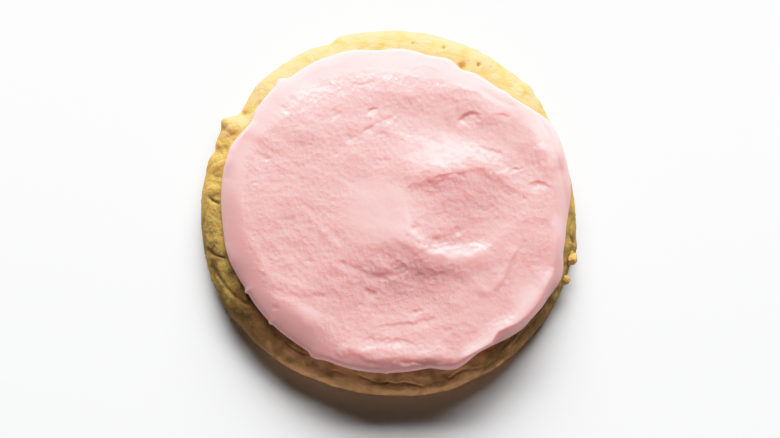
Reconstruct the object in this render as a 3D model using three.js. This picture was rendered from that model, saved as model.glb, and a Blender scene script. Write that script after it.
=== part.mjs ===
// An iced sugar cookie: a thick round soft biscuit with a pressed, ragged rim, and a layer of
// butter icing spread over its top with a knife. It lies flat on its underside.
// Millimetres, +Z up. The origin is under the middle of the cookie, on the surface that it lies on.
import * as THREE from "three";

// ---- Driving dimensions ----

// The baked cookie.
const COOKIE_RADIUS = 44.5;
const COOKIE_HEIGHT = 11;
const RIM_HEIGHT = 9.4;
const WIDEST_HEIGHT = 3.2;
const FOOT_WIDTH = 2.4;
const SHOULDER_WIDTH = 6.6;

// The icing on top of it. Its middle is a little to the right of the cookie's.
const ICING_RADIUS = 40.2;
const ICING_MIDDLE = new THREE.Vector2(1.4, 0);
const ICING_THICKNESS = 4.6;
const BELLY_HEIGHT = 1.1;
const TUCK_WIDTH = 0.9;
const ICING_GAP = 0.3;
const JUT = 2.2;

// How finely the solids are faceted.
const SIDES = 108;
const FOOT_STEPS = 3;
const SHOULDER_STEPS = 8;
const DOME_STEPS = 5;
const TUCK_STEPS = 3;
const LIP_STEPS = 3;
const ROLL_STEPS = 4;
const FIELD_STEPS = 12;
const UNDERSIDE_STEPS = 3;
const SPREAD_STEPS = 7;

// ---- What makes the two outlines uneven ----

// Where an outline swells out or draws in: an angle in degrees, and how far it stands out there from
// the radius.
const COOKIE_OUTLINE = [
  [10, -0.4], [31, -0.1], [38, 0.5], [42, 1.1], [46, 0.4], [92, -0.6], [105, -0.5], [109.5, -1.5],
  [117, -0.8], [125, -0.7], [135, -0.2], [146, -1.4], [151, 1.3], [154, 0.2], [158, 0.2], [160.3, -0.3],
  [164, 0.4], [200, 0.8], [213, 0.7], [217, 0.2], [232, -0.2], [248, -1.1], [266, -1.1], [294, 0.3],
  [313, 0.7], [319, 0.5], [328, 0.9], [333, 0.6], [343, 0.7], [349, 1.2], [354, 0.5],
];
const ICING_OUTLINE = [
  [12, 2.4], [26, 2.9], [46, -1.3], [51, -2.1], [59, -2.2], [64.5, -2.9], [70.5, -1.7], [77, -2.2],
  [88, -1.4], [95, -1.6], [108, -0.2], [120, 0.3], [128, 0.3], [131.5, 1.8], [134.5, 1], [144, 0.9],
  [148, 0.1], [160, 1.9], [187, 0.9], [193, 1], [210, -0.1], [238, -0.9], [240.5, -0.2], [246.5, -1],
  [281, -1.9], [291.5, 0.1], [301, -1], [320, 1.2], [329, 1.7], [338, 2.5], [348, 1], [354, 0.8],
];

// How wide the rolled edge of the icing is at a few angles, and how far it slopes down before its lip.
const ROLL_WIDTHS = [
  [0, 5.6], [12, 5.6], [20, 4.5], [30, 7], [45, 4.6], [60, 6], [75, 9.5], [90, 11.5], [120, 14.5],
  [137, 12], [150, 6], [172, 5], [185, 6.2], [212, 7], [238, 7], [252, 5], [272, 4.6],
  [282, 3.6], [290, 2.8], [298, 0.5], [304, 0.5], [310, 2.2], [320, 1], [340, 1.8], [350, 3],
];
const ROLL_FALLS = [
  [0, 3.5], [12, 3.1], [20, 1.5], [30, 1.3], [45, 0.6], [60, 0.9], [75, 1.6], [90, 2.3], [120, 2.2],
  [137, 1.1], [150, 0.5], [160, 1.6], [172, 4], [185, 4.2], [200, 2.8], [212, 2.1], [238, 1.7],
  [252, 0.8], [284, 0.8], [350, 2.8],
];
// How wide the rounding of its lip is.
const LIP_WIDTHS = [[8, 2.2], [40, 0.7], [135, 0.7], [185, 1.6], [230, 0.9], [280, 0.9]];
// The angles between which the roll is broken off in a sharp edge and a flat wall.
const WALL = { from: 299, to: 343 };
const WALL_FADE = 4;

// ---- The marks of the knife in the icing, and of the press in the cookie's rim ----

// A swell is an oval rise of the icing, or a hollow where its height is negative.
// Its place is measured from the icing's middle, and its turn is in degrees.
const SWELLS = [
  { x: 2, y: -6, wide: 11.5, deep: 9, turn: 0, height: 1.2 },
  { x: 19, y: -4.5, wide: 9, deep: 6, turn: 28, height: -0.6 },
  { x: -33, y: -2, wide: 8, deep: 12, turn: 0, height: 0.6 },
  { x: 11, y: 8.5, wide: 11, deep: 5.5, turn: -8, height: 1.1 },
  { x: 31, y: 9.5, wide: 5, deep: 5, turn: 0, height: -0.45 },
  { x: 39, y: 13.5, wide: 5, deep: 6.5, turn: 0, height: 0.8 },
  { x: 9, y: 20, wide: 13, deep: 4.5, turn: -18, height: -0.5 },
  { x: 21, y: 25.5, wide: 9, deep: 4.5, turn: -35, height: 0.7 },
  { x: 1, y: -22, wide: 16, deep: 6.5, turn: 7, height: -0.8 },
  { x: -24, y: 20.5, wide: 9, deep: 6, turn: 0, height: 0.5 },
  { x: -26, y: -8, wide: 7, deep: 9, turn: 0, height: -0.5 },
];

// A stroke is a ridge, or a groove where its height is negative, along part of a circle.
// It has its own width on the side towards the circle's middle and on the side away from it.
const STROKES = [
  { x: 14.4, y: 1.2, radius: 13.6, from: 218, to: 328, inner: 1.8, outer: 3.4, height: 0.6 },
  { x: 16.1, y: -3.6, radius: 14.1, from: 50, to: 125, inner: 1.8, outer: 4.5, height: 0.5 },
  { x: 0, y: 21.5, radius: 48.5, from: 258, to: 282, inner: 1.2, outer: 1, height: -0.4 },
  { x: 0, y: 21.5, radius: 56.5, from: 254, to: 284, inner: 3, outer: 2, height: 0.4 },
  { x: 0, y: 0, radius: 40, from: 290, to: 340, inner: 3.2, outer: 1.5, height: 1.1 },
];
const STROKE_FADE = 12;

// A crease runs along the rim, the given distance in from the outline, and is pressed in there.
const CREASES = [
  { inset: 2.6, from: 198, to: 214, wide: 0.8, depth: 0.4 },
  { inset: 2.6, from: 260, to: 281, wide: 0.7, depth: 0.3 },
  { inset: 1.9, from: 311, to: 331, wide: 0.6, depth: 0.4 },
];
const CREASE_FADE = 4;

const TURN = 360;
const QUARTER_TURN = 90;

// ---- Functions ----

const radians = THREE.MathUtils.degToRad;

// How far one angle is from another, in degrees, taken the short way round.
const away = (angle, other) => THREE.MathUtils.euclideanModulo(angle - other + TURN / 2, TURN) - TURN / 2;

// A smooth mound: 1 at its middle and almost nothing at twice its spread.
const mound = (distance, spread) => Math.exp(-((distance / spread) ** 2));

// 1 between two angles, easing to 0 over the fade beyond them.
function along(angle, from, to, fade) {
  const beyond = Math.abs(away(angle, (from + to) / 2)) - (to - from) / 2;
  return 1 - THREE.MathUtils.smoothstep(beyond, 0, fade);
}

// A value at an angle, which swells smoothly from each point of a list to the next, all the way round.
function roundTheEdge(points, angle) {
  const start = points[0][0];
  const gone = THREE.MathUtils.euclideanModulo(angle - start, TURN);
  const index = points.findLastIndex(([turn]) => turn - start <= gone);
  const [turn, value] = points[index];
  const [nextTurn, nextValue] = points[(index + 1) % points.length];
  const span = THREE.MathUtils.euclideanModulo(nextTurn - turn, TURN);
  const share = (gone - (turn - start)) / span;
  return THREE.MathUtils.lerp(value, nextValue, THREE.MathUtils.smoothstep(share, 0, 1));
}

const cookieReach = (angle) => COOKIE_RADIUS + roundTheEdge(COOKIE_OUTLINE, angle);
const icingReach = (angle) => ICING_RADIUS + roundTheEdge(ICING_OUTLINE, angle);
const rollWidth = (angle) => roundTheEdge(ROLL_WIDTHS, angle);
const lipWidth = (angle) => Math.min(roundTheEdge(LIP_WIDTHS, angle), rollWidth(angle) / 2);

// How much the rim is pressed down at an angle, a given distance in from the outline.
function rimDent(angle, inset) {
  let dent = 0;
  for (const crease of CREASES) {
    const pressed = along(angle, crease.from, crease.to, CREASE_FADE);
    dent += crease.depth * pressed * mound(inset - crease.inset, crease.wide);
  }
  return dent;
}

// The cookie's upper face: a rounded shoulder, then a low dome. Inset is measured from the outline.
function cookieTop(angle, inset) {
  const run = THREE.MathUtils.clamp(inset / SHOULDER_WIDTH, 0, 1);
  const shoulder = (RIM_HEIGHT - WIDEST_HEIGHT) * Math.sqrt(1 - (1 - run) ** 2);
  const middle = cookieReach(angle) - SHOULDER_WIDTH;
  const rise = THREE.MathUtils.clamp((inset - SHOULDER_WIDTH) / middle, 0, 1);
  const dome = (COOKIE_HEIGHT - RIM_HEIGHT) * (1 - (1 - rise) ** 2);
  return WIDEST_HEIGHT + shoulder + dome - rimDent(angle, inset);
}

// The height that the icing lies on at a point. Where the icing comes nearer to the cookie's outline
// than the jut, it stands out level over the shoulder instead of running down it.
function bedHeight(x, y) {
  const angle = THREE.MathUtils.radToDeg(Math.atan2(y, x));
  const inset = cookieReach(angle) - Math.hypot(x, y);
  return cookieTop(angle, Math.max(inset, JUT));
}

// How far the knife's marks raise the icing at a point measured from the icing's middle.
function knifeMarks(x, y) {
  let raised = 0;
  for (const swell of SWELLS) {
    const offset = new THREE.Vector2(x - swell.x, y - swell.y);
    offset.rotateAround(new THREE.Vector2(), -radians(swell.turn));
    raised += swell.height * mound(Math.hypot(offset.x / swell.wide, offset.y / swell.deep), 1);
  }
  for (const stroke of STROKES) {
    const angle = THREE.MathUtils.radToDeg(Math.atan2(y - stroke.y, x - stroke.x));
    const offset = Math.hypot(x - stroke.x, y - stroke.y) - stroke.radius;
    const side = offset < 0 ? stroke.inner : stroke.outer;
    raised += stroke.height * mound(offset, side) * along(angle, stroke.from, stroke.to, STROKE_FADE);
  }
  return raised;
}

// Shares of the way along, from 0 to 1, for the rings of one stretch of a profile.
const steps = (count) => Array.from({ length: count }, (_, index) => (index + 1) / count);

// A closed body turned from rings: the first and last ring are points on its axis. Each ring is a
// function that gives its place at an angle, so that the body follows an uneven outline.
function turned(rings) {
  const profile = rings.map((ring, index) => {
    const end = index === 0 || index === rings.length - 1;
    return new THREE.Vector2(end ? 0 : 1, index);
  });
  const geometry = new THREE.LatheGeometry(profile, SIDES);
  const position = geometry.attributes.position;
  for (let index = 0; index < position.count; index++) {
    const side = Math.floor(index / rings.length) % SIDES;
    const place = rings[index % rings.length]((TURN * side) / SIDES);
    position.setXYZ(index, place.x, place.y, place.z);
  }
  geometry.computeVertexNormals();
  return geometry;
}

// A point at an angle, a distance out from the axis and a height up.
function around(angle, reach, height) {
  return new THREE.Vector3(reach * Math.cos(radians(angle)), reach * Math.sin(radians(angle)), height);
}

// ---- The cookie ----

function cookieRings() {
  const rings = [() => around(0, 0, 0)];
  for (const share of steps(UNDERSIDE_STEPS)) {
    rings.push((angle) => around(angle, share * (cookieReach(angle) - FOOT_WIDTH), 0));
  }
  for (const share of steps(FOOT_STEPS)) {
    const lean = radians(QUARTER_TURN * share);
    const height = WIDEST_HEIGHT * (1 - Math.cos(lean));
    rings.push((angle) => around(angle, cookieReach(angle) - FOOT_WIDTH * (1 - Math.sin(lean)), height));
  }
  for (const share of steps(SHOULDER_STEPS)) {
    const inset = SHOULDER_WIDTH * (1 - Math.cos(radians(QUARTER_TURN * share)));
    rings.push((angle) => around(angle, cookieReach(angle) - inset, cookieTop(angle, inset)));
  }
  for (const share of steps(DOME_STEPS)) {
    rings.push((angle) => {
      const reach = (1 - share) * (cookieReach(angle) - SHOULDER_WIDTH);
      return around(angle, reach, cookieTop(angle, cookieReach(angle) - reach));
    });
  }
  return rings;
}

// ---- The icing ----

// A point of the icing at an angle about its own middle, at a height above the cookie's upper face.
function onCookie(angle, reach, height) {
  const place = around(angle, reach, 0);
  place.x += ICING_MIDDLE.x;
  place.y += ICING_MIDDLE.y;
  place.z = bedHeight(place.x, place.y) + ICING_GAP + height;
  return place;
}

// How far the face stands above the icing's widest part, a given distance in from the outline. The roll
// slopes down more and more, and at its end the lip is rounded like the rim of a wheel.
function faceRise(angle, inset, full) {
  const out = THREE.MathUtils.clamp(1 - inset / rollWidth(angle), 0, 1);
  const lipOut = THREE.MathUtils.clamp(1 - inset / lipWidth(angle), 0, 1);
  const slope = Math.min(roundTheEdge(ROLL_FALLS, angle), full);
  const rolled = slope * (1 - out ** 2) + (full - slope) * Math.sqrt(1 - lipOut ** 2);
  return THREE.MathUtils.lerp(rolled, full * (1 - out), along(angle, WALL.from, WALL.to, WALL_FADE));
}

// A point of the icing's spread face, a given distance in from the outline.
function onFace(angle, inset) {
  const reach = icingReach(angle) - inset;
  const flat = around(angle, reach, 0);
  const full = ICING_THICKNESS - BELLY_HEIGHT + knifeMarks(flat.x, flat.y);
  return onCookie(angle, reach, BELLY_HEIGHT + faceRise(angle, inset, full));
}

function icingRings() {
  const rings = [() => onCookie(0, 0, 0)];
  for (const share of steps(SPREAD_STEPS)) {
    const out = Math.sin(radians(QUARTER_TURN * share));
    rings.push((angle) => onCookie(angle, out * (icingReach(angle) - TUCK_WIDTH), 0));
  }
  for (const share of steps(TUCK_STEPS)) {
    const lean = radians(QUARTER_TURN * share);
    const height = BELLY_HEIGHT * (1 - Math.cos(lean));
    rings.push((angle) => onCookie(angle, icingReach(angle) - TUCK_WIDTH * (1 - Math.sin(lean)), height));
  }
  for (const share of steps(LIP_STEPS)) {
    const lean = radians(QUARTER_TURN * share);
    rings.push((angle) => onFace(angle, lipWidth(angle) * (1 - Math.cos(lean))));
  }
  for (const share of steps(ROLL_STEPS)) {
    rings.push((angle) => onFace(angle, THREE.MathUtils.lerp(lipWidth(angle), rollWidth(angle), share)));
  }
  for (const share of steps(FIELD_STEPS)) {
    rings.push((angle) => onFace(angle, THREE.MathUtils.lerp(rollWidth(angle), icingReach(angle), share)));
  }
  return rings;
}

// ---- The two pieces together ----

const crumb = new THREE.MeshStandardMaterial({ color: "#e3bd7c", roughness: 0.85, metalness: 0 });
const butterIcing = new THREE.MeshStandardMaterial({ color: "#f2bcbc", roughness: 0.5, metalness: 0 });

const cookie = new THREE.Mesh(turned(cookieRings()), crumb);
cookie.name = "cookie";

const icing = new THREE.Mesh(turned(icingRings()), butterIcing);
icing.name = "icing";

const icedCookie = new THREE.Group();
icedCookie.name = "iced_sugar_cookie";
icedCookie.add(cookie, icing);

// The group is centred over the origin, however uneven the outline is.
const box = new THREE.Box3().setFromObject(icedCookie);
icedCookie.position.set(-(box.min.x + box.max.x) / 2, -(box.min.y + box.max.y) / 2, 0);

export default icedCookie;
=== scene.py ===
"""An iced sugar cookie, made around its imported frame: the baked cookie, the icing that was spread over
it with a knife, and two loose crumbs. Shapes are worked out in millimetres and then made metres."""

import math

import bmesh
import bpy
import numpy as np
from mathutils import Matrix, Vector, noise


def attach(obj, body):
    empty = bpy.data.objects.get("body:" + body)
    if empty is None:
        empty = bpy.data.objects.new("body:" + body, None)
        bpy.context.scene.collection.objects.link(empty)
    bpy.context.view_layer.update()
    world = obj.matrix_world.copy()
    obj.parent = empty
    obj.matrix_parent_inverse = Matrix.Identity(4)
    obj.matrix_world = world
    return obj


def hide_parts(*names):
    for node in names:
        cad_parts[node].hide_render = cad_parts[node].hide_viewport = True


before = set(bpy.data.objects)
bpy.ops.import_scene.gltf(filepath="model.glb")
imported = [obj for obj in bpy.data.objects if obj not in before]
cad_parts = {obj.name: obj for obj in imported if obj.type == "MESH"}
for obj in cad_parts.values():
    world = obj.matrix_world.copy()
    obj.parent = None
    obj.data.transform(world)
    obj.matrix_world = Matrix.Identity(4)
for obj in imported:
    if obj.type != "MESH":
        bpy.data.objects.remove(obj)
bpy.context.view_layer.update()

# ---- The baked cookie ----
# A thick disc of soft sugar dough, baked flat on a tray. A press squeezed its rim out, so the rim is
# ragged and creased. The crumb is sandy. Its colours are partly baked and partly painted light and
# shade: pale at the back, brown round the sides with painted shade, and a lighter warm tan, painted
# light, on the shaded side towards the viewer.

MM = 0.001
COOKIE_RADIUS = 44.5
COOKIE_HEIGHT = 11.0
RIM_HEIGHT = 9.4
WIDEST_HEIGHT = 3.2
FOOT_WIDTH = 2.4
SHOULDER_WIDTH = 6.6

# Where the outline swells out or draws in: an angle, and how far it stands out there from the radius.
COOKIE_OUTLINE = [
    (10, -0.4), (31, -0.1), (38, 0.5), (42, 1.1), (46, 0.4), (92, -0.6), (105, -0.5), (109.5, -1.5),
    (117, -0.8), (125, -0.7), (135, -0.2), (146, -1.4), (151, 1.3), (154, 0.2), (158, 0.2), (160.3, -0.3),
    (164, 0.4), (200, 0.8), (213, 0.7), (217, 0.2), (232, -0.2), (248, -1.1), (266, -1.1), (294, 0.3),
    (313, 0.7), (319, 0.5), (328, 0.9), (333, 0.6), (343, 0.7), (349, 1.2), (354, 0.5),
]


def away(angle, other):
    """How far one angle is from another, in degrees, the short way round."""
    return (angle - other + 180) % 360 - 180


def mound(distance, spread):
    """1 at the middle, and almost nothing at twice the spread."""
    return np.exp(-((distance / spread) ** 2))


def ease(value, low, high):
    """0 below low, 1 above high, and a smooth step between them."""
    share = np.clip((value - low) / (high - low), 0, 1)
    return share * share * (3 - 2 * share)


def round_the_edge(angle, points):
    """A value at an angle, which swells smoothly from each point of a list to the next, all the way round."""
    turns, values = np.array(points + [(points[0][0] + 360, points[0][1])]).T
    turned = (angle - turns[0]) % 360 + turns[0]
    first = np.clip(np.searchsorted(turns, turned, side="right") - 1, 0, len(points) - 1)
    share = (turned - turns[first]) / (turns[first + 1] - turns[first])
    return values[first] + (values[first + 1] - values[first]) * ease(share, 0, 1)


def cookie_reach(angle):
    return COOKIE_RADIUS + round_the_edge(angle, COOKIE_OUTLINE)


def cookie_top(angle, inset):
    """The height of the pressed top, a given distance in from the outline."""
    run = np.clip(inset / SHOULDER_WIDTH, 0, 1)
    shoulder = (RIM_HEIGHT - WIDEST_HEIGHT) * np.sqrt(1 - (1 - run) ** 2)
    rise = np.clip((inset - SHOULDER_WIDTH) / (cookie_reach(angle) - SHOULDER_WIDTH), 0, 1)
    return WIDEST_HEIGHT + shoulder + (COOKIE_HEIGHT - RIM_HEIGHT) * (1 - (1 - rise) ** 2)


def get_places(mesh):
    """The places of a mesh's vertices in millimetres, one row each."""
    flat = np.empty(len(mesh.vertices) * 3, np.float32)
    mesh.vertices.foreach_get("co", flat)
    return flat.reshape(-1, 3).astype(float) / MM


def set_places(mesh, places):
    mesh.vertices.foreach_set("co", (places * MM).astype(np.float32).ravel())
    mesh.update()


def get_normals(mesh):
    flat = np.empty(len(mesh.vertices) * 3, np.float32)
    mesh.vertex_normals.foreach_get("vector", flat)
    return flat.reshape(-1, 3).astype(float)


def lumps(places, size, seed):
    """Smooth random relief whose usual height is 1, with lumps of a size in millimetres."""
    shift = Vector((seed, 2 * seed, -seed))
    heights = np.array([noise.noise(Vector(place) / size + shift) for place in places])
    return heights / heights.std()


def dragged(places, ways, size, length, seed):
    """Random relief like lumps, but drawn out over a length in millimetres along the way at each place."""
    heights = sum(lumps(places + ways * length * share, size, seed) for share in (-0.5, -0.25, 0, 0.25, 0.5))
    return heights / heights.std()


LINE_STEPS = 6


def smooth_line(points):
    """A smooth line through a few points, as short straight steps."""
    points = np.array(points, float)
    before = 2 * points[0] - points[1]
    after = 2 * points[-1] - points[-2]
    guides = np.vstack([before, points, after])
    line = []
    for start in range(len(points) - 1):
        a, b, c, d = guides[start:start + 4]
        for share in np.arange(0, 1, 1 / LINE_STEPS):
            line.append(0.5 * (
                2 * b + (c - a) * share + (2 * a - 5 * b + 4 * c - d) * share**2
                + (3 * b - a - 3 * c + d) * share**3
            ))
    line.append(points[-1])
    return np.array(line)


# How many of its half widths a stroke is felt beside its line. At each end it narrows, over a share of
# its length or a few of its half widths, to a share of its full width.
STROKE_MARGIN = 3
END_SHARE, END_WIDTHS = 0.4, 2.5
NARROWEST = 0.4


def stroke(x, y, points, left, right, height):
    """The rise of a ridge, or the fall of a groove, along a smooth line through a few points. It has its
    own half width on the left and on the right of the line, and it narrows and fades out at both ends."""
    line = smooth_line(points)
    margin = STROKE_MARGIN * max(left, right)
    low, high = line.min(0) - margin, line.max(0) + margin
    close = np.flatnonzero((x > low[0]) & (x < high[0]) & (y > low[1]) & (y < high[1]))
    nearest = np.full(close.shape, np.inf)
    side = np.zeros(close.shape)
    gone = np.zeros(close.shape)
    steps = np.diff(line, axis=0)
    lengths = np.hypot(steps[:, 0], steps[:, 1])
    starts = np.concatenate([[0], np.cumsum(lengths)])
    for number, (step, length) in enumerate(zip(steps, lengths)):
        dx, dy = x[close] - line[number, 0], y[close] - line[number, 1]
        share = np.clip((dx * step[0] + dy * step[1]) / length**2, 0, 1)
        distance = np.hypot(dx - share * step[0], dy - share * step[1])
        nearer = distance < nearest
        nearest[nearer] = distance[nearer]
        side[nearer] = (step[0] * dy - step[1] * dx)[nearer]
        gone[nearer] = (starts[number] + share * length)[nearer]
    end = min(END_SHARE * starts[-1], END_WIDTHS * max(left, right))
    taper = np.sin(np.radians(90 * np.clip(np.minimum(gone, starts[-1] - gone) / end, 0, 1)))
    width = np.where(side > 0, left, right) * (NARROWEST + (1 - NARROWEST) * taper)
    rise = np.zeros(x.shape)
    rise[close] = height * taper * mound(nearest, width)
    return rise


# The rings of the profile: the underside, the foot, the rounded shoulder and the hidden top. The
# profile is spun once round in coarse steps, and each step is then cut into finer ones.
UNDERSIDE_RINGS = 12
FOOT_RINGS = 16
SHOULDER_RINGS = 48
TOP_RINGS = 10
COOKIE_STEPS = 100
STEP_CUTS = 8

profile = [(0.0, 0.0)]
for step in range(1, UNDERSIDE_RINGS + 1):
    profile.append((step / UNDERSIDE_RINGS * (COOKIE_RADIUS - FOOT_WIDTH), 0.0))
for step in range(1, FOOT_RINGS + 1):
    lean = math.radians(90 * step / FOOT_RINGS)
    profile.append((
        COOKIE_RADIUS - FOOT_WIDTH * (1 - math.sin(lean)),
        WIDEST_HEIGHT * (1 - math.cos(lean)),
    ))
for step in range(1, SHOULDER_RINGS + 1):
    lean = math.radians(90 * step / SHOULDER_RINGS)
    profile.append((
        COOKIE_RADIUS - SHOULDER_WIDTH * (1 - math.cos(lean)),
        WIDEST_HEIGHT + (RIM_HEIGHT - WIDEST_HEIGHT) * math.sin(lean),
    ))
for step in range(1, TOP_RINGS + 1):
    share = step / TOP_RINGS
    profile.append((
        (COOKIE_RADIUS - SHOULDER_WIDTH) * (1 - share),
        RIM_HEIGHT + (COOKIE_HEIGHT - RIM_HEIGHT) * (1 - (1 - share) ** 2),
    ))

dough = bmesh.new()
ring_points = [dough.verts.new((reach * MM, 0, height * MM)) for reach, height in profile]
for first, second in zip(ring_points, ring_points[1:]):
    dough.edges.new((first, second))
bmesh.ops.spin(
    dough, geom=dough.verts[:] + dough.edges[:], cent=(0, 0, 0), axis=(0, 0, 1),
    angle=2 * math.pi, steps=COOKIE_STEPS, use_merge=True,
)
bmesh.ops.remove_doubles(dough, verts=dough.verts, dist=0.001 * MM)
round_edges = [
    edge for edge in dough.edges
    if abs(edge.verts[0].co.xy.length - edge.verts[1].co.xy.length) < 0.01 * MM
    and abs(edge.verts[0].co.z - edge.verts[1].co.z) < 0.01 * MM
]
bmesh.ops.subdivide_edges(dough, edges=round_edges, cuts=STEP_CUTS, use_grid_fill=True)
bmesh.ops.recalc_face_normals(dough, faces=dough.faces)
cookie_mesh = bpy.data.meshes.new("cookie_baked")
dough.to_mesh(cookie_mesh)
dough.free()

# Creases, cracks and the lips beside them, as strokes over the unrolled rim. Each point is an angle and
# a distance in from the outline; the left of a line is its inner side.
RIM_STROKES = [
    ([(152, 1.8), (154, 3.4)], 2.2, 2.2, 0.35),
    ([(158, 2.0), (159.5, 3.6)], 0.9, 0.9, -0.3),
    ([(164, 2.0), (165.5, 3.4)], 1.8, 1.8, 0.25),
    ([(168.0, 1.4), (168.6, 3.0), (168.2, 4.6)], 0.7, 0.7, -0.25),
    ([(171, 3.4), (173, 3.1), (175, 3.3)], 1.6, 1.5, 0.4),
    ([(175.0, 1.4), (176.2, 2.4), (177.0, 3.4), (177.8, 5.0)], 0.5, 0.35, -0.45),
    ([(191.0, 0.9), (193.7, 2.2), (195.2, 3.7), (196.1, 5.0)], 0.3, 0.3, -0.35),
    ([(196.6, 0.2), (197.7, 1.5), (200.6, 1.8), (204.5, 2.4), (208.6, 3.2), (211.4, 4.0), (214.9, 5.2)],
     0.45, 0.5, -0.35),
    ([(198.5, 0.5), (200.5, 0.9), (204.1, 1.5), (209.2, 2.2), (213, 2.8), (218, 3.2)], 0.7, 0.8, 0.2),
    ([(216, 1.0), (226, 1.0), (240, 0.9), (256, 1.0), (272, 0.9), (288, 1.0), (302, 0.9)], 0.9, 0.9, 0.2),
    ([(228, 3.4), (240, 3.2), (254, 3.4), (268, 3.2), (284, 3.3), (300, 3.0)], 1.2, 1.2, -0.2),
    ([(249.5, 2.8), (252.4, 3.3), (255.3, 2.8)], 0.2, 0.25, -0.25),
    ([(259.4, 3.6), (263, 2.9), (267.4, 2.4), (269.5, 2.7), (272.3, 2.3), (274.5, 2.6), (277.4, 2.4),
      (281.7, 1.5)], 0.2, 0.25, -0.3),
    ([(231, 4.8), (236, 4.3), (241, 4.6)], 0.25, 0.25, -0.25),
    ([(289, 2.4), (295, 2.9), (300.5, 1.7), (302, 1.3), (305, 1.6), (307.7, 1.2)], 0.2, 0.25, -0.25),
    ([(311, 1.7), (318, 2.1), (325, 1.7), (331, 1.3)], 0.3, 0.4, -0.35),
    ([(309, 3.0), (317, 3.4), (326, 3.0)], 0.3, 0.3, -0.25),
    ([(334, 1.9), (339, 2.3), (344, 1.4)], 0.3, 0.35, -0.35),
    ([(350, 0.9), (354, 1.6), (358, 1.0)], 0.3, 0.3, -0.25),
]
# Pores and pits in the rim: angle, distance in from the outline, half width and depth.
RIM_PITS = [
    (58.5, 3.6, 0.45, 0.9),
    (63.0, 6.0, 1.3, 1.0),
    (71.5, 2.8, 0.4, 0.8),
    (82.0, 3.4, 0.35, 0.7),
    (131.0, 4.2, 0.9, 0.8),
    (141.0, 4.4, 1.1, 1.1),
    (146.0, 1.2, 0.8, 0.5),
    (295.0, 0.9, 0.35, 0.3),
]

# The uneven outline moves only the rim: nothing further in than the first distance, and everything
# further out than the second.
STILL_INSET, MOVED_INSET = 16, 5
# The rim's relief fades out above the flat underside, and inwards where the icing covers the crumb.
RELIEF_FROM, RELIEF_TO = 0.2, 3
COVERED_INSET, COVERED_FADE = 10, 3

places = get_places(cookie_mesh)
angle = np.degrees(np.arctan2(places[:, 1], places[:, 0])) % 360
reach = np.hypot(places[:, 0], places[:, 1])
at_rim = ease(reach, COOKIE_RADIUS - STILL_INSET, COOKIE_RADIUS - MOVED_INSET)
grown = 1 + (cookie_reach(angle) - COOKIE_RADIUS) * at_rim / np.maximum(reach, 1)
places[:, :2] *= grown[:, None]
set_places(cookie_mesh, places)

inset = cookie_reach(angle) - reach * grown
unrolled = np.radians(angle) * COOKIE_RADIUS
round_way = np.stack([-np.sin(np.radians(angle)), np.cos(np.radians(angle)), np.zeros_like(angle)], 1)
over_tray = ease(places[:, 2], RELIEF_FROM, RELIEF_TO)
shown = ease(COVERED_INSET - inset, 0, COVERED_FADE) * over_tray

# The press drew the dough out round the rim, so its lumps and its cracks run along it. The cracks are
# where one pattern of lumps crosses zero, in places that another pattern picks, on the near side.
BROAD_LUMPS, DRAWN_LUMPS, SMALL_LUMPS, SAND = 0.08, 0.035, 0.03, 0.022
PORE_DEPTH = 0.09
CRACK_DEPTH, CRACK_WIDTH = 0.12, 0.09

relief = BROAD_LUMPS * lumps(places, 6, seed=3)
relief = relief + DRAWN_LUMPS * dragged(places, round_way, 2.2, 3, seed=9)
relief += SMALL_LUMPS * lumps(places, 1.3, seed=5) + SAND * lumps(places, 0.6, seed=6)
relief -= PORE_DEPTH * ease(lumps(places, 0.9, seed=17), 1.4, 2.4)
crack_line = np.abs(dragged(places, round_way, 2.8, 7, seed=12))
crack_place = ease(lumps(places, 7, seed=14), 0.3, 1.4)
crack_place = crack_place * ease(-np.sin(np.radians(angle + 8)), -0.35, 0.1)
relief -= CRACK_DEPTH * crack_place * mound(crack_line, CRACK_WIDTH)
for points, left, right, height in RIM_STROKES:
    line = [(math.radians(turn) * COOKIE_RADIUS, depth) for turn, depth in points]
    relief += stroke(unrolled, inset, line, left, right, height)
for turn, depth, spread, height in RIM_PITS:
    distance = np.hypot(np.radians(away(angle, turn)) * COOKIE_RADIUS, inset - depth)
    relief -= height * mound(distance, spread)
places += get_normals(cookie_mesh) * (relief * shown)[:, None]
set_places(cookie_mesh, places)

# A value from 0 to 1 that picks the crumb's colour. It is partly how far the crumb is baked: a little
# more on the thin lip by the tray, and in mottles. It is partly painted light and shade: least at the
# back, more round the sides, where its colours are painted shade, most at the front, where they are
# painted light that lifts the shaded side, and more in the deeper creases, as painted shade.
BACK_BAKE, SIDE_BAKE_AND_SHADE, FRONT_BAKE_AND_LIGHT = 0.12, 0.27, 0.38
LIP_BAKE, LIP_HEIGHT = 0.08, 4
MOTTLE_BAKE = 0.03
CREASE_SHADE, CREASE_DEPTH = 0.3, 0.12

near = -np.sin(np.radians(angle))
bake_and_painted_light_values = BACK_BAKE + SIDE_BAKE_AND_SHADE * ease(near, -0.72, 0.25) + FRONT_BAKE_AND_LIGHT * ease(near, 0.3, 1)
bake_and_painted_light_values += LIP_BAKE * ease(LIP_HEIGHT - places[:, 2], 0, LIP_HEIGHT)
bake_and_painted_light_values += MOTTLE_BAKE * lumps(places, 3, seed=41) - CREASE_SHADE * np.minimum(relief + CREASE_DEPTH, 0)
# The value stored on the points is partly bake and partly painted light and shade.
bake_and_painted_light = cookie_mesh.attributes.new("bake_and_painted_light", "FLOAT", "POINT")
bake_and_painted_light.data.foreach_set("value", np.clip(bake_and_painted_light_values, 0, 1).astype(np.float32))


def linear(code):
    """An sRGB hex colour as the linear red, green, blue and alpha that shaders take."""
    shares = [int(code[start:start + 2], 16) / 255 for start in (1, 3, 5)]
    return [s / 12.92 if s <= 0.04045 else ((s + 0.055) / 1.055) ** 2.4 for s in shares] + [1]


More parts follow.
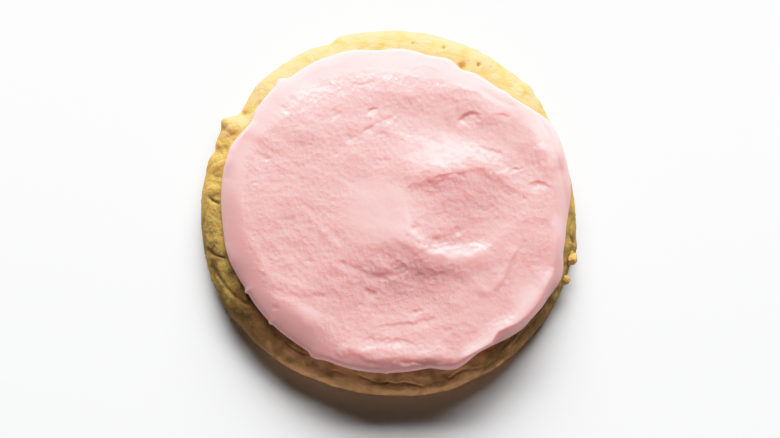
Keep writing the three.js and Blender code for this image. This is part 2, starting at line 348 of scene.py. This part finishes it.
def add(tree, kind, inputs=None, **settings):
    """Adds a node. Each input is given by name or number, as a value or as the socket that feeds it."""
    made = tree.nodes.new(kind)
    for name, value in settings.items():
        setattr(made, name, value)
    for key, value in (inputs or {}).items():
        if isinstance(value, bpy.types.NodeSocket):
            tree.links.new(value, made.inputs[key])
        else:
            made.inputs[key].default_value = value
    return made


def new_material(name):
    material = bpy.data.materials.new(name)
    material.use_nodes = True
    material.node_tree.nodes.clear()
    return material


def per_mm(size):
    """The scale of a texture whose detail is about a size in millimetres."""
    return 1 / (size * MM)


def baked_sugar_dough():
    """Soft-baked sugar dough: matt and sandy, so light scatters in it and nothing on it shines. Its colour
    follows a value from 0 to 1 on each point, from pale through golden to brown. The darkest brown is
    painted shade round the sides, and the lighter warm tan at the top of the scale is painted light for
    the shaded front."""
    material = new_material("baked_sugar_dough")
    tree = material.node_tree
    place = add(tree, "ShaderNodeTexCoord").outputs["Object"]
    bake_and_painted_light = add(tree, "ShaderNodeAttribute", attribute_name="bake_and_painted_light").outputs["Fac"]
    patches = add(tree, "ShaderNodeTexNoise", {"Vector": place, "Scale": per_mm(1.6), "Detail": 4})
    uneven = add(tree, "ShaderNodeMath", {
        0: patches.outputs["Fac"], 1: 0.18, 2: bake_and_painted_light,
    }, operation="MULTIPLY_ADD")
    colours = add(tree, "ShaderNodeValToRGB", {"Fac": uneven.outputs[0]})
    ramp = colours.color_ramp
    # The darkest stop, #785932, is painted shade for the sides, and the last, #efb07a, is painted light for
    # the shaded front.
    ramp.elements[0].position, ramp.elements[0].color = 0.2, linear("#d5a874")
    ramp.elements[1].position, ramp.elements[1].color = 0.88, linear("#efb07a")
    for position, code in ((0.3, "#ca9c54"), (0.45, "#b2944e"), (0.56, "#785932"), (0.75, "#a87a4b")):
        ramp.elements.new(position).color = linear(code)
    grain = add(tree, "ShaderNodeTexNoise", {
        "Vector": place, "Scale": per_mm(0.6), "Detail": 5, "Roughness": 0.7,
    })
    relief = add(tree, "ShaderNodeBump", {
        "Height": grain.outputs["Fac"], "Strength": 1, "Distance": 0.3 * MM,
    })
    shader = add(tree, "ShaderNodeBsdfPrincipled", {
        "Base Color": colours.outputs["Color"],
        "Roughness": 0.9,
        "IOR": 1.45,
        "Specular IOR Level": 0.15,
        "Subsurface Weight": 0.15,
        "Subsurface Radius": (1.0, 0.6, 0.25),
        "Subsurface Scale": 0.8 * MM,
        "Normal": relief.outputs["Normal"],
    })
    add(tree, "ShaderNodeOutputMaterial", {"Surface": shader.outputs["BSDF"]})
    return material


def finish_piece(mesh, name, material):
    """Makes a mesh a smooth shown piece that rides on the one body."""
    mesh.polygons.foreach_set("use_smooth", [True] * len(mesh.polygons))
    piece = bpy.data.objects.new(name, mesh)
    bpy.context.scene.collection.objects.link(piece)
    mesh.materials.append(material)
    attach(piece, "root")
    return piece


crumb_material = baked_sugar_dough()
cookie_piece = finish_piece(cookie_mesh, "cookie_baked", crumb_material)
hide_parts("cookie")

# ---- The icing ----
# Butter icing: sugar beaten with butter and tinted pink, laid on the cookie in one dollop and spread
# out with a round knife. The knife left a hollow, ridges, torn pits and a smooth rolled edge.

ICING_RADIUS = 40.2
ICING_MIDDLE = (1.4, 0.0)
ICING_THICKNESS = 4.6
# The edge is widest at this height, and tucks in below it.
BELLY_HEIGHT = 1.1
TUCK_WIDTH = 0.9
# How far the icing is sunk into the crumb, and how near the cookie's outline it stops following the
# crumb down and juts out.
SUNK = 0.25
JUT = 2.2

# Where the icing's outline swells out or draws in, as the cookie's is given.
ICING_OUTLINE = [
    (12, 2.4), (26, 2.9), (46, -1.3), (51, -2.1), (59, -2.2), (64.5, -2.9), (70.5, -1.7), (77, -2.2),
    (88, -1.4), (95, -1.6), (108, -0.2), (120, 0.3), (128, 0.3), (131.5, 1.8), (134.5, 1.0), (144, 0.9),
    (148, 0.1), (160, 1.9), (187, 0.9), (193, 1.0), (210, -0.1), (238, -0.9), (240.5, -0.2), (246.5, -1.0),
    (281, -1.9), (291.5, 0.1), (301, -1.0), (320, 1.2), (329, 1.7), (338, 2.5), (348, 1.0), (354, 0.8),
]
# The roll of the edge starts from the outline evened out over many degrees, and ends near the outline
# evened out over a few. Only the lip, over its width, is as ragged as the outline.
EVENED_INSIDE, EVENED_OUTSIDE = 24, 8
RAGGED_WIDTH = 3.0
# Small tufts that the knife pulled out of the edge: their angle and how far they stand out.
TUFTS = [(208.6, 0.5), (222, 0.45), (267, 0.3)]
TUFT_DEGREES = 0.7
# How wide the rolled edge is at a few angles, and how far it slopes down before its lip.
ROLL_WIDTHS = [
    (0, 5.6), (12, 5.6), (20, 4.5), (30, 7.0), (45, 4.6), (60, 6.0), (75, 9.5), (90, 11.5), (120, 14.5),
    (137, 12.0), (150, 6.0), (172, 5.0), (185, 6.2), (212, 7.0), (238, 7.0), (252, 5.0), (272, 4.6),
    (282, 3.6), (290, 2.8), (298, 0.5), (304, 0.5), (310, 2.2), (320, 1.0), (340, 1.8), (350, 3.0),
]
ROLL_FALLS = [
    (0, 3.5), (12, 3.1), (20, 1.5), (30, 1.3), (45, 0.6), (60, 0.9), (75, 1.6), (90, 2.3), (120, 2.2),
    (137, 1.1), (150, 0.5), (160, 1.6), (172, 4.0), (185, 4.2), (200, 2.8), (212, 2.1), (238, 1.7),
    (252, 0.8), (284, 0.8), (350, 2.8),
]
# However the outline runs, the roll is at least this wide.
LEAST_ROLL = 0.4
# How wide the rounding of the lip is.
LIP_WIDTHS = [(8, 2.2), (40, 0.7), (135, 0.7), (185, 1.6), (230, 0.9), (280, 0.9)]
# How wide the smooth band along the edge is at a few angles, and the width over which the grain fades
# in beside it.
SMOOTH_WIDTHS = [(45, 2.0), (90, 3.5), (135, 3.0), (225, 2.5), (300, 0.3), (340, 0.8)]
SMOOTH_FADE = 4
# The angles between which the roll is broken off in a sharp edge and a flat wall, and the degrees over
# which the wall fades into the roll.
WALL_START, WALL_END = 299, 343
WALL_FADE = 4

# Each swell is an oval rise, or a dent where its height is negative. Its numbers are its place measured
# from the middle of the icing, its half width and half depth, its turn in degrees and its height.
BROAD_SWELLS = [
    (2.0, -6.0, 11.5, 9.0, 0, 1.2),
    (19.0, -4.5, 9.0, 6.0, 28, -0.6),
    (-33.0, -2.0, 8.0, 12.0, 0, 0.6),
    (11.0, 8.5, 11.0, 5.5, -8, 1.1),
    (31.0, 9.5, 5.0, 5.0, 0, -0.45),
    (39.0, 13.5, 5.0, 6.5, 0, 0.8),
    (13.0, -7.3, 4.5, 1.8, 0, -0.2),
    (9.0, 20.0, 13.0, 4.5, -18, -0.5),
    (21.0, 25.5, 9.0, 4.5, -35, 0.7),
    (1.0, -22.0, 16.0, 6.5, 7, -0.8),
    (-24.0, 20.5, 9.0, 6.0, 0, 0.5),
    (-26.0, -8.0, 7.0, 9.0, 0, -0.5),
    (31.0, -15.0, 4.0, 6.0, 0, -0.25),
    (-18.0, -27.5, 7.0, 3.0, -30, 0.2),
]
SMALL_SWELLS = [
    (18.7, 24.3, 1.3, 1.3, 0, -0.15),
    (34.5, 14.6, 1.3, 1.3, 0, 0.14),
    (39.2, 9.4, 0.9, 1.2, 0, -0.1),
    (30.8, 2.4, 0.8, 0.8, 0, -0.15),
    (4.4, -4.2, 1.1, 0.9, 0, -0.3),
    (9.6, -7.4, 1.3, 0.8, -30, -0.25),
    (14.8, -4.8, 0.8, 1.0, -30, -0.3),
    (21.0, -19.3, 1.1, 1.4, 0, 0.2),
    (12.0, -28.4, 0.7, 0.5, 0, -0.15),
    (-10.5, 16.8, 0.9, 0.8, 0, -0.22),
    (-13.3, 22.2, 1.0, 0.7, 0, -0.12),
    (-22.0, 15.3, 0.9, 0.7, 0, -0.12),
    (-30.8, 12.3, 1.3, 0.6, -15, -0.16),
    (-33.4, 6.4, 1.0, 0.5, 0, -0.12),
    (-28.0, 6.7, 1.5, 0.7, -10, -0.12),
    (-14.5, 13.7, 1.2, 0.6, -30, -0.12),
    (-7.0, 13.3, 1.2, 0.6, 0, -0.12),
    (-2.3, 11.8, 0.8, 0.7, 0, -0.14),
    (-3.0, 18.0, 0.8, 0.9, 0, -0.14),
    (-20.5, -12.2, 0.8, 0.6, 0, -0.15),
    (-28.4, -23.2, 0.8, 0.6, 0, -0.15),
    (-17.5, -20.5, 1.0, 0.6, 0, -0.12),
]

# Each stroke is a ridge, or a groove where its height is negative. Its numbers are a few points on its
# line, its half width on the left and on the right of the line, and its height.
BROAD_STROKES = [
    ([(0.5, -4.0), (4.0, -8.0), (8.0, -10.6), (11.5, -11.5), (15.5, -11.2), (20.0, -10.2), (23.0, -8.4)],
     1.6, 4.2, 0.62),
    ([(16.0, -11.2), (20.5, -10.0), (24.5, -6.8), (27.0, -2.5)], 2.2, 3.6, 0.3),
    ([(2.0, 6.0), (7.0, 7.4), (12.5, 9.0), (15.8, 9.4), (18.5, 11.0), (22.0, 10.0), (26.0, 7.0),
      (29.0, 4.0)], 4.5, 2.2, 0.6),
    ([(-14.0, -33.0), (-6.0, -34.6), (2.0, -35.3), (10.0, -35.3), (15.0, -36.6)], 2.6, 2.0, 0.55),
    ([(13.0, -37.8), (16.5, -36.4), (20.5, -33.9), (25.0, -30.0), (30.5, -26.3), (33.0, -23.8), (36.0, -19.0),
      (39.0, -13.5)], 2.6, 1.5, 1.1),
]
FINE_STROKES = [
    ([(14.6, 20.8), (16.3, 22.0), (18.0, 22.5), (19.5, 22.4), (21.2, 21.8)], 0.55, 1.8, -0.42),
    ([(24.0, 22.4), (25.5, 22.5), (27.2, 22.2)], 0.3, 0.9, -0.15),
    ([(31.8, 5.6), (34.5, 6.1), (37.0, 5.6)], 0.35, 1.4, -0.28),
    ([(8.0, 6.2), (10.0, 7.3), (12.5, 8.0), (15.5, 8.1), (17.0, 9.3), (19.2, 10.2)], 0.35, 1.2, -0.14),
    ([(2.4, 0.6), (2.9, -2.2), (3.4, -4.8), (5.2, -6.8), (8.0, -7.8)], 0.8, 1.2, 0.2),
    ([(-6.6, 22.8), (-5.6, 23.6), (-4.4, 23.8), (-3.4, 24.0)], 0.3, 1.3, -0.28),
    ([(-5.2, 20.2), (-3.0, 21.2), (-0.6, 22.7)], 0.35, 0.8, -0.16),
    ([(-7.8, 18.2), (-6.5, 19.5), (-5.0, 20.1)], 0.35, 1.0, -0.22),
    ([(-27.0, 22.8), (-25.6, 25.0), (-23.7, 27.2)], 0.8, 0.8, -0.2),
    ([(-10.2, 29.6), (-7.0, 30.3), (-3.0, 30.2)], 0.4, 0.8, -0.12),
    ([(-14.6, -12.2), (-12.0, -12.7), (-9.5, -14.0), (-6.0, -15.6), (-2.0, -15.7), (3.2, -15.0)],
     0.5, 1.1, -0.15),
    ([(-7.3, -20.0), (-5.6, -19.6), (-4.0, -19.8)], 0.4, 1.4, -0.25),
    ([(-5.0, -27.8), (0.0, -27.6), (5.0, -27.0), (11.0, -25.9)], 0.5, 1.5, -0.2),
    ([(-7.0, -31.2), (-3.0, -30.9), (1.0, -31.0), (4.5, -31.4)], 0.5, 1.7, -0.2),
    ([(3.3, -24.5), (7.2, -23.7)], 0.3, 0.8, -0.15),
    ([(1.0, -36.2), (6.0, -36.6), (12.0, -36.9)], 0.5, 0.6, -0.2),
    ([(21.8, -21.8), (24.5, -17.5), (27.0, -13.0), (29.2, -8.0)], 1.5, 0.7, 0.22),
    ([(-20.0, -0.3), (-18.5, -3.5), (-16.0, -6.5), (-12.2, -9.7)], 0.8, 1.2, 0.15),
    ([(-33.7, -7.0), (-31.0, -14.0), (-27.5, -16.8), (-23.5, -18.2), (-17.9, -20.2)], 1.2, 1.4, 0.15),
    ([(-31.0, -20.3), (-27.5, -21.5), (-24.0, -22.6), (-20.5, -24.8), (-17.5, -27.5)], 1.3, 3.0, 0.2),
    ([(21.0, 28.0), (25.0, 26.1), (28.6, 24.5)], 0.7, 0.7, -0.14),
    ([(35.4, 17.4), (37.0, 15.0), (37.9, 12.3)], 0.6, 0.6, -0.14),
    ([(26.8, 8.6), (28.5, 9.5), (30.3, 10.3)], 0.25, 0.25, -0.12),
    ([(28.0, 9.6), (29.3, 10.3), (30.6, 11.0)], 0.25, 0.25, 0.1),
    ([(3.5, 34.4), (7.0, 34.2), (10.5, 34.0)], 0.4, 0.4, 0.1),
    ([(19.5, 15.2), (23.0, 13.8), (26.0, 13.0)], 0.4, 0.8, -0.15),
    ([(14.0, 29.6), (18.0, 28.8), (21.0, 27.4)], 0.4, 0.5, 0.12),
]

# Ovals in which the knife left the icing smooth, as places, half widths, half depths and how smooth.
# The smoothness ends a little beyond each oval, and fades over a share of it.
PATCH_END, PATCH_FADE = 1.4, 0.8
SMOOTH_PATCHES = [
    (-3, -1, 9, 8, 0.85), (-24, -26, 6, 3.5, 0.85), (31, -21, 3, 6, 0.85), (9, 14, 9, 3, 0.6),
    (20, 19, 16, 8, 0.45), (20, -20, 6, 8, 0.4), (15, -11, 9, 1.8, 0.75), (3, -8, 4, 3, 0.7),
]

# Which way the knife went, in degrees, at a few places. In between, the nearest ones blend.
KNIFE_WAYS = [
    (-30, 12, -28),
    (-22, -2, -38),
    (-30, -16, -50),
    (-16, 20, -25),
    (-8, -8, -30),
    (-16, -26, -20),
    (0, -28, 4),
    (14, -28, 15),
    (24, -16, 62),
    (35, -6, 80),
    (28, 12, -18),
    (6, 28, -8),
    (22, 24, -28),
    (14, 0, -15),
]
KNIFE_WAY_SPREAD = 10


def icing_reach(angle):
    tufts = sum(height * mound(away(angle, turn), TUFT_DEGREES) for turn, height in TUFTS)
    return ICING_RADIUS + round_the_edge(angle, ICING_OUTLINE) + tufts


def icing_even_reach(angle, degrees):
    sides = np.linspace(-0.5, 0.5, 9) * degrees
    return sum(icing_reach(angle + side) for side in sides) / len(sides)


def knife_relief(x, y, swells, strokes):
    """How far the knife's marks raise the icing, at places measured from its middle."""
    raised = np.zeros(x.shape)
    for middle_x, middle_y, wide, deep, turn, height in swells:
        cos, sin = math.cos(math.radians(turn)), math.sin(math.radians(turn))
        dx, dy = x - middle_x, y - middle_y
        raised += height * mound(np.hypot((dx * cos + dy * sin) / wide, (dy * cos - dx * sin) / deep), 1)
    for points, left, right, height in strokes:
        raised += stroke(x, y, points, left, right, height)
    return raised


def knife_ways(x, y):
    """The way the knife went at each place, as a flat arrow one millimetre long. A way is the same as its
    reverse, so the turns are doubled while they blend."""
    along, across = np.zeros(x.shape), np.zeros(x.shape)
    for middle_x, middle_y, turn in KNIFE_WAYS:
        weight = mound(np.hypot(x - middle_x, y - middle_y), KNIFE_WAY_SPREAD)
        along += weight * math.cos(math.radians(2 * turn))
        across += weight * math.sin(math.radians(2 * turn))
    turn = np.arctan2(across, along) / 2
    return np.stack([np.cos(turn), np.sin(turn), np.zeros(x.shape)], 1)


# The rings of the icing's mesh, from its middle out: the face, the outermost strip, in which they lie
# closer and closer, and the tuck beneath it.
FACE_RINGS = 126
STRIP_RINGS = 14
TUCK_RINGS = 10
STRIP_WIDTH = 2.0
ICING_RINGS = FACE_RINGS + STRIP_RINGS + TUCK_RINGS
UNDER_RINGS = 5
# How far the hidden underside draws in, as a share, before its last ring is closed.
UNDER_SHRINK = 0.9

spread = bmesh.new()
bmesh.ops.create_grid(spread, x_segments=2 * ICING_RINGS, y_segments=2 * ICING_RINGS, size=1)
rim_edges = [edge for edge in spread.edges if edge.is_boundary]
for ring in range(UNDER_RINGS):
    made = bmesh.ops.extrude_edge_only(spread, edges=rim_edges)["geom"]
    rim_edges = [item for item in made if isinstance(item, bmesh.types.BMEdge) and item.is_boundary]
    under_points = [item for item in made if isinstance(item, bmesh.types.BMVert)]
    bmesh.ops.translate(spread, verts=under_points, vec=(0, 0, -1))
bmesh.ops.holes_fill(spread, edges=rim_edges, sides=0)
bmesh.ops.recalc_face_normals(spread, faces=spread.faces)
icing_mesh = bpy.data.meshes.new("icing_spread")
spread.to_mesh(icing_mesh)
spread.free()

# The square grid becomes a disc: each square of the grid is one ring, and its corners even out.
grid = get_places(icing_mesh) * MM
across, up = grid[:, 0], grid[:, 1]
ring = np.maximum(np.abs(across), np.abs(up)) * ICING_RINGS
sideways = np.abs(across) >= np.abs(up)
longer = np.where(sideways, across, up)
shorter = np.where(sideways, up, across)
lean = 45 * shorter / np.where(longer == 0, 1, longer)
angle = np.where(sideways, lean, 90 - lean) + np.where(longer < 0, 180, 0)
angle = angle % 360
under = -grid[:, 2] / UNDER_RINGS

outer = icing_even_reach(angle, EVENED_OUTSIDE)
inner = icing_even_reach(angle, EVENED_INSIDE) - round_the_edge(angle, ROLL_WIDTHS)
inner = np.minimum(inner, outer - LEAST_ROLL)
ragged = icing_reach(angle) - outer
face_share = np.clip(ring / FACE_RINGS, 0, 1)
strip_lean = np.radians(90 * np.clip((ring - FACE_RINGS) / STRIP_RINGS, 0, 1))
tuck_lean = np.radians(90 * np.clip((ring - FACE_RINGS - STRIP_RINGS) / TUCK_RINGS, 0, 1))
reach = (outer - STRIP_WIDTH) * face_share + STRIP_WIDTH * np.sin(strip_lean)
out = np.clip((reach - inner) / (outer - inner), 0, 1)
lip_out = np.clip(1 - (outer - reach) / round_the_edge(angle, LIP_WIDTHS), 0, 1)
reach += ragged * np.clip(1 - (outer - reach) / RAGGED_WIDTH, 0, 1) ** 2
reach -= TUCK_WIDTH * (1 - np.cos(tuck_lean))
reach *= 1 - UNDER_SHRINK * under
x, y = reach * np.cos(np.radians(angle)), reach * np.sin(np.radians(angle))

# The marks wander a little, as marks in grainy icing do.
BROAD_WANDER, FINE_WANDER = 0.22, 0.09

flat = np.stack([x, y, np.zeros_like(x)], 1)
wander = BROAD_WANDER * lumps(flat, 3, seed=21) + FINE_WANDER * lumps(flat, 1, seed=22)
broad = knife_relief(x + wander, y + wander, BROAD_SWELLS, BROAD_STROKES)
fine = knife_relief(x + wander, y - wander, SMALL_SWELLS, FINE_STROKES)
on_top = ease(outer - round_the_edge(angle, SMOOTH_WIDTHS) - reach, 0, SMOOTH_FADE)
grainy = on_top * (under == 0)
for middle_x, middle_y, wide, deep, smooth in SMOOTH_PATCHES:
    oval = np.hypot((x - middle_x) / wide, (y - middle_y) / deep)
    grainy *= 1 - smooth * ease(PATCH_END - oval, 0, PATCH_FADE)

# The texture that the knife left: how high each part of it stands, and its least share anywhere.
UNEVEN_HEIGHT = 0.04
DRAG_HEIGHT, GRAIN_HEIGHT, WRINKLE_HEIGHT, DIMPLE_DEPTH = 0.01, 0.003, 0.028, 0.05
LEAST_TEXTURE = 0.45

ways = knife_ways(x, y)
drag = dragged(flat, ways, 1.3, 2.6, seed=31)
grain = lumps(flat, 0.8, seed=32)
wrinkles = dragged(flat, ways, 2.4, 2.0, seed=33)
dimples = ease(wrinkles, 1.0, 2.4)
patchy = LEAST_TEXTURE + (1 - LEAST_TEXTURE) * ease(lumps(flat, 7, seed=36), -0.9, 0.9)
texture = UNEVEN_HEIGHT * lumps(flat, 5, seed=34) * on_top
knife_marks = DRAG_HEIGHT * drag + GRAIN_HEIGHT * grain + WRINKLE_HEIGHT * wrinkles - DIMPLE_DEPTH * dimples
texture += grainy * patchy * knife_marks
relief = broad + fine + texture

# The roll slopes down more and more, and at its end the lip is rounded like the rim of a wheel.
walled = ease(angle, WALL_START - WALL_FADE, WALL_START + WALL_FADE / 2)
walled = walled * ease(WALL_END - angle, -WALL_FADE, WALL_FADE)
full = ICING_THICKNESS - BELLY_HEIGHT + relief
slope = np.minimum(round_the_edge(angle, ROLL_FALLS), full)
rolled = slope * (1 - out**2) + (full - slope) * np.sqrt(1 - lip_out**2)
height = BELLY_HEIGHT + walled * full * (1 - out) + (1 - walled) * rolled
height -= BELLY_HEIGHT * np.sin(tuck_lean)
at_x, at_y = x + ICING_MIDDLE[0], y + ICING_MIDDLE[1]
cookie_angle = np.degrees(np.arctan2(at_y, at_x)) % 360
cookie_inset = cookie_reach(cookie_angle) - np.hypot(at_x, at_y)
bed = cookie_top(cookie_angle, np.maximum(cookie_inset, JUT))
places = np.stack([at_x, at_y, bed - SUNK + height], 1)
set_places(icing_mesh, places)
coarse = icing_mesh.attributes.new("coarse", "FLOAT", "POINT")
coarse.data.foreach_set("value", grainy.astype(np.float32))


def butter_icing():
    """Beaten butter icing: fat and fine sugar, so it glows softly from inside and has a satin shine.
    Where the knife dragged it is finely crinkled, and the crinkles glint."""
    material = new_material("butter_icing")
    tree = material.node_tree
    place = add(tree, "ShaderNodeTexCoord").outputs["Object"]
    coarse = add(tree, "ShaderNodeAttribute", attribute_name="coarse").outputs["Fac"]
    grain = add(tree, "ShaderNodeTexNoise", {
        "Vector": place, "Scale": per_mm(0.7), "Detail": 3, "Roughness": 0.65,
    })
    astray = add(tree, "ShaderNodeVectorMath", {
        0: grain.outputs["Color"], 1: (1.1 * MM, 1.1 * MM, 1.1 * MM), 2: place,
    }, operation="MULTIPLY_ADD")
    crinkles = add(tree, "ShaderNodeTexVoronoi", {"Vector": astray.outputs[0], "Scale": per_mm(1.25)})
    rough = add(tree, "ShaderNodeMath", {
        0: crinkles.outputs["Distance"], 1: 1.3, 2: grain.outputs["Fac"],
    }, operation="MULTIPLY_ADD")
    relief = add(tree, "ShaderNodeBump", {
        "Height": rough.outputs[0],
        "Strength": add(tree, "ShaderNodeMapRange", {
            "Value": coarse, "To Min": 0.12, "To Max": 1,
        }).outputs["Result"],
        "Distance": 0.09 * MM,
    })
    shader = add(tree, "ShaderNodeBsdfPrincipled", {
        "Base Color": linear("#e6adab"),
        "Roughness": add(tree, "ShaderNodeMapRange", {
            "Value": coarse, "To Min": 0.65, "To Max": 0.17,
        }).outputs["Result"],
        "IOR": 1.46,
        "Specular IOR Level": 0.55,
        "Subsurface Weight": 0.9,
        "Subsurface Radius": (1.0, 0.34, 0.31),
        "Subsurface Scale": 4.2 * MM,
        "Normal": relief.outputs["Normal"],
    })
    add(tree, "ShaderNodeOutputMaterial", {"Surface": shader.outputs["BSDF"]})
    return material


icing_piece = finish_piece(icing_mesh, "icing_spread", butter_icing())
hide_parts("icing")

# ---- The loose crumbs ----
# Two crumbs of the same dough that broke off, baked golden and stuck to the rim at its right. Each is
# made from a round ball, pushed out to a few grains that have grown together.

# Each crumb's angle, its distance in from the outline and its height, and then its grains: the middle of
# each, measured from the crumb's, and its radius.
CRUMBS = [
    (346.0, 0.7, 5.6, [(0.1, -0.4, 0.0, 1.4), (-0.3, 1.0, 0.1, 0.95), (0.6, 0.2, -0.2, 0.9)]),
    (339.2, 0.2, 4.8, [(0.1, -0.1, 0.0, 1.15), (-0.6, 0.6, 0.1, 0.7)]),
]
CRUMB_CUTS = 5
# How uneven a crumb is, in broad and in fine lumps, and how many of each there are over half its width.
CRUMB_BROAD, CRUMB_FINE = 0.14, 0.06
BROAD_COUNT, FINE_COUNT = 2.5, 8

crumbs = bmesh.new()
for turn, depth, high, grains in CRUMBS:
    ball = bmesh.ops.create_icosphere(crumbs, subdivisions=CRUMB_CUTS, radius=1)["verts"]
    distance = float(cookie_reach(np.array([turn], float))[0]) - depth
    middle = Vector((math.cos(math.radians(turn)) * distance, math.sin(math.radians(turn)) * distance, high))
    for point in ball:
        way = point.co.normalized()
        reaches = []
        for grain_x, grain_y, grain_z, radius in grains:
            centre = Vector((grain_x, grain_y, grain_z))
            beside = way.dot(centre)
            reaches.append(beside + math.sqrt(max(beside**2 - centre.length_squared + radius**2, 0)))
        rough = CRUMB_BROAD * noise.noise(way * BROAD_COUNT + middle)
        rough += CRUMB_FINE * noise.noise(way * FINE_COUNT + middle)
        point.co = (middle + way * (max(reaches) + rough)) * MM
crumbs_mesh = bpy.data.meshes.new("crumbs_loose")
crumbs.to_mesh(crumbs_mesh)
crumbs.free()
CRUMB_BAKE, CRUMB_MOTTLE = 0.2, 0.05
golden = CRUMB_BAKE + CRUMB_MOTTLE * lumps(get_places(crumbs_mesh), 0.8, seed=51)
bake_and_painted_light = crumbs_mesh.attributes.new("bake_and_painted_light", "FLOAT", "POINT")
bake_and_painted_light.data.foreach_set("value", golden.astype(np.float32))
finish_piece(crumbs_mesh, "crumbs_loose", crumb_material)

# ---- The table, the light and the camera ----
# A white card on a table, lit by a soft window from behind and faintly by a low reflector in front,
# with the camera almost straight above.

CARD_SIZE = 1.4
card_mesh = bpy.data.meshes.new("card")
card = bmesh.new()
bmesh.ops.create_grid(card, x_segments=1, y_segments=1, size=CARD_SIZE)
card.to_mesh(card_mesh)
card.free()
floor = bpy.data.objects.new("card", card_mesh)
bpy.context.scene.collection.objects.link(floor)


def white_card():
    """Uncoated white card: matt, so it takes a soft shadow and shows no reflection."""
    material = new_material("white_card")
    tree = material.node_tree
    shader = add(tree, "ShaderNodeBsdfPrincipled", {
        "Base Color": linear("#f7f8f9"), "Roughness": 1, "Specular IOR Level": 0,
    })
    add(tree, "ShaderNodeOutputMaterial", {"Surface": shader.outputs["BSDF"]})
    return material


card_mesh.materials.append(white_card())

WINDOW_TURN, WINDOW_RISE = 86, 32.5
WINDOW_DISTANCE = 1.5
WINDOW_WIDTH, WINDOW_HEIGHT = 1.5, 0.8
WINDOW_STRENGTH = 10.4
REFLECTOR_TURN, REFLECTOR_RISE = -91, 5
REFLECTOR_SPREAD = 16
REFLECTOR_STRENGTH = 0.64
BACKDROP_STRENGTH = 1.2


def towards(turn, rise, distance):
    """A point at a distance from the cookie, by its turn from +X and its rise, both in degrees."""
    turn, rise = math.radians(turn), math.radians(rise)
    level = Vector((math.cos(turn), math.sin(turn), 0)) * math.cos(rise)
    return (level + Vector((0, 0, math.sin(rise)))) * distance


def place_lamp(lamp_data, spot):
    lamp = bpy.data.objects.new(lamp_data.name, lamp_data)
    lamp.location = spot
    lamp.rotation_euler = (-spot).to_track_quat("-Z", "Y").to_euler()
    bpy.context.scene.collection.objects.link(lamp)


window = bpy.data.lights.new("window", "AREA")
window.shape = "RECTANGLE"
window.size, window.size_y = WINDOW_WIDTH, WINDOW_HEIGHT
window.energy = WINDOW_STRENGTH * math.pi * WINDOW_DISTANCE**2
place_lamp(window, towards(WINDOW_TURN, WINDOW_RISE, WINDOW_DISTANCE))

reflector = bpy.data.lights.new("reflector", "SUN")
reflector.angle = math.radians(REFLECTOR_SPREAD)
reflector.energy = REFLECTOR_STRENGTH
place_lamp(reflector, towards(REFLECTOR_TURN, REFLECTOR_RISE, 1))

world = bpy.data.worlds.new("studio")
world.use_nodes = True
background = world.node_tree.nodes["Background"]
background.inputs["Color"].default_value = linear("#ffffff")
background.inputs["Strength"].default_value = BACKDROP_STRENGTH
bpy.context.scene.world = world
# The backdrop beyond the card is pale to look at, and gives no light.
world.cycles_visibility.diffuse = False
world.cycles_visibility.glossy = False
world.cycles_visibility.transmission = False
world.cycles_visibility.scatter = False

# The picture is 780 pixels wide and shows 0.2394 mm of the cookie in each of them.
PICTURE_WIDTH = 780
PIXEL_SIZE = 0.2394
SENSOR_WIDTH = 36
CAMERA_RISE = 86
CAMERA_DISTANCE = 1200
FARTHEST_SEEN = 20000
AIM = Vector((0.24, -1.44, WIDEST_HEIGHT)) * MM

camera_data = bpy.data.cameras.new("camera")
camera_data.sensor_width = SENSOR_WIDTH
camera_data.lens = SENSOR_WIDTH * CAMERA_DISTANCE / (PICTURE_WIDTH * PIXEL_SIZE)
camera_data.clip_end = FARTHEST_SEEN * MM
camera = bpy.data.objects.new("camera", camera_data)
camera.location = AIM + towards(-90, CAMERA_RISE, CAMERA_DISTANCE * MM)
camera.rotation_euler = (AIM - camera.location).to_track_quat("-Z", "Y").to_euler()
bpy.context.scene.collection.objects.link(camera)
bpy.context.scene.camera = camera

# The camera's response: how bright each brightness is shown. Bright tones roll off softly into white.
BRIGHTEST = 2.2
RESPONSE = [
    (0.3, 0.3), (0.6, 0.6), (0.75, 0.715), (0.9, 0.81), (1.05, 0.875), (1.25, 0.935), (1.45, 0.975),
    (1.8, 0.993),
]
# The number of the curve that holds for red, green and blue together.
ALL_COLOURS = 3

view = bpy.context.scene.view_settings
view.view_transform = "Standard"
view.use_curve_mapping = True
view.curve_mapping.white_level = (BRIGHTEST,) * 3
for brightness, answer in RESPONSE:
    view.curve_mapping.curves[ALL_COLOURS].points.new(brightness / BRIGHTEST, answer)
view.curve_mapping.update()
